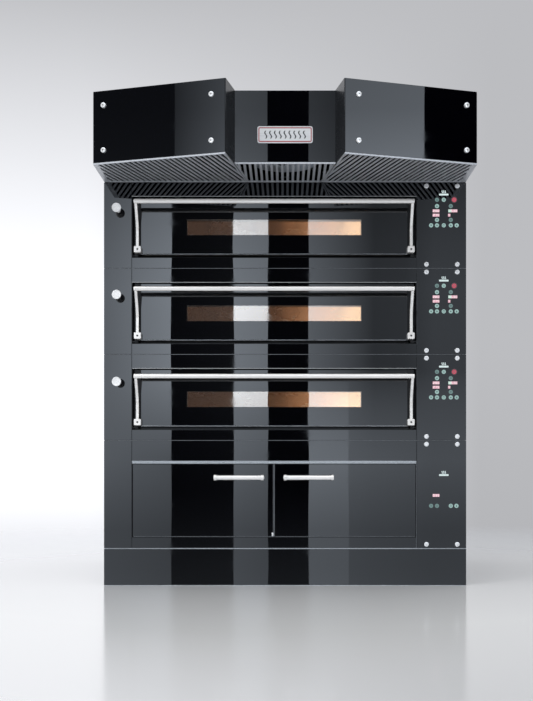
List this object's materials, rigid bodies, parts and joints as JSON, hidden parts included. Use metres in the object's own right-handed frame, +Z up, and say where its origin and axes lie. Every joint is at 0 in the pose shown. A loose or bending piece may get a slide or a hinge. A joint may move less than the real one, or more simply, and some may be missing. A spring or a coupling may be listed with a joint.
{
  "type": "deck oven",
  "caption": "Tall black-glass deck oven: stacked baking decks with drop-down doors and full-width bars, over a proofing cabinet with two doors, under an angled steam hood.",
  "frame": {"origin": "on the floor, under the middle of the bounding box", "axes": "+Z up, front faces -Y, +X to the right seen from the front"},
  "size_m": [1.6, 1.768, 2.161],
  "materials": {
    "black_mirror_glass": "back-painted black glass, mirror gloss",
    "black_steel": "smooth gloss black powder coat on sheet steel",
    "black_enamel": "satin black heat-proof enamel",
    "brushed_steel_bar": "fine brushed stainless steel",
    "grille_steel": "brushed stainless steel baffle",
    "shelf_steel": "plain stainless sheet",
    "polished_chrome": "polished caps on a plated bracket",
    "turned_aluminium": "turned face, satin",
    "chamber_steel": "heat-tinted aluminised steel",
    "baking_stone": "cordierite, dry and matt",
    "element_steel": "oxidised tubular heating element",
    "lamp_glass": "frosted lamp lens, lit warm",
    "galvanised_duct": "galvanised sheet",
    "black_plastic": "moulded plastic"
  },
  "bodies": {
    "oven": {"cable_gland": "black_plastic", "deck_1_baking_chamber": "chamber_steel", "deck_1_baking_stone": "baking_stone", "deck_1_casing": "black_steel", "deck_1_chamber_lamp": "lamp_glass", "deck_1_control_panel": "black_mirror_glass", "deck_1_door_surround": "black_mirror_glass", "deck_1_heating_element": "element_steel", "deck_1_left_panel": "black_mirror_glass", "deck_1_panel_bracket": "polished_chrome", "deck_2_baking_chamber": "chamber_steel", "deck_2_baking_stone": "baking_stone", "deck_2_casing": "black_steel", "deck_2_chamber_lamp": "lamp_glass", "deck_2_control_panel": "black_mirror_glass", "deck_2_door_surround": "black_mirror_glass", "deck_2_heating_element": "element_steel", "deck_2_left_panel": "black_mirror_glass", "deck_2_panel_bracket": "polished_chrome", "deck_3_baking_chamber": "chamber_steel", "deck_3_baking_stone": "baking_stone", "deck_3_casing": "black_steel", "deck_3_chamber_lamp": "lamp_glass", "deck_3_control_panel": "black_mirror_glass", "deck_3_door_surround": "black_mirror_glass", "deck_3_heating_element": "element_steel", "deck_3_left_panel": "black_mirror_glass", "deck_3_panel_bracket": "polished_chrome", "hood_centre_grille": "grille_steel", "hood_centre_panel": "black_mirror_glass", "hood_duct_collar": "galvanised_duct", "hood_left_grille": "grille_steel", "hood_left_wing_panel": "black_mirror_glass", "hood_right_grille": "grille_steel", "hood_right_wing_panel": "black_mirror_glass", "hood_shell": "black_steel", "plinth": "black_steel", "proofer_casing": "black_steel", "proofer_control_panel": "black_mirror_glass", "proofer_door_surround": "black_mirror_glass", "proofer_left_panel": "black_mirror_glass", "proofer_panel_bracket": "polished_chrome", "proofer_shelf_rack": "shelf_steel"},
    "deck_1_door": {"deck_1_door_frame": "black_enamel", "deck_1_door_glass": "black_mirror_glass", "deck_1_door_handle": "brushed_steel_bar"},
    "deck_2_door": {"deck_2_door_frame": "black_enamel", "deck_2_door_glass": "black_mirror_glass", "deck_2_door_handle": "brushed_steel_bar"},
    "deck_3_door": {"deck_3_door_frame": "black_enamel", "deck_3_door_glass": "black_mirror_glass", "deck_3_door_handle": "brushed_steel_bar"},
    "deck_1_damper": {"deck_1_damper_pull": "turned_aluminium"},
    "deck_2_damper": {"deck_2_damper_pull": "turned_aluminium"},
    "deck_3_damper": {"deck_3_damper_pull": "turned_aluminium"},
    "left_proofer_door": {"proofer_left_door": "black_mirror_glass", "proofer_left_handle": "brushed_steel_bar"},
    "right_proofer_door": {"proofer_right_door": "black_mirror_glass", "proofer_right_handle": "brushed_steel_bar"},
    "extractor_fan": {"hood_fan_impeller": "black_plastic"}
  },
  "joints": [
    {"name": "deck_1_door_hinge", "type": "hinge", "parent": "oven", "child": "deck_1_door", "pos_m": [-0.048, -0.409, 0.697], "axis": [1, 0, 0], "range_deg": [0, 90]},
    {"name": "deck_2_door_hinge", "type": "hinge", "parent": "oven", "child": "deck_2_door", "pos_m": [-0.048, -0.409, 1.077], "axis": [1, 0, 0], "range_deg": [0, 90]},
    {"name": "deck_3_door_hinge", "type": "hinge", "parent": "oven", "child": "deck_3_door", "pos_m": [-0.048, -0.409, 1.457], "axis": [1, 0, 0], "range_deg": [0, 90]},
    {"name": "deck_1_damper_slide", "type": "slide", "parent": "oven", "child": "deck_1_damper", "axis": [0, -1, 0], "range_m": [0, 0.05]},
    {"name": "deck_2_damper_slide", "type": "slide", "parent": "oven", "child": "deck_2_damper", "axis": [0, -1, 0], "range_m": [0, 0.05]},
    {"name": "deck_3_damper_slide", "type": "slide", "parent": "oven", "child": "deck_3_damper", "axis": [0, -1, 0], "range_m": [0, 0.05]},
    {"name": "left_proofer_door_hinge", "type": "hinge", "parent": "oven", "child": "left_proofer_door", "pos_m": [-0.67, -0.413, 0.376], "axis": [0, 0, -1], "range_deg": [0, 110]},
    {"name": "right_proofer_door_hinge", "type": "hinge", "parent": "oven", "child": "right_proofer_door", "pos_m": [0.574, -0.413, 0.376], "axis": [0, 0, 1], "range_deg": [0, 110]},
    {"name": "extractor_fan_spin", "type": "hinge", "parent": "oven", "child": "extractor_fan", "pos_m": [0, 0.234, 2.063], "axis": [0, 0, 1], "continuous": true}
  ]
}
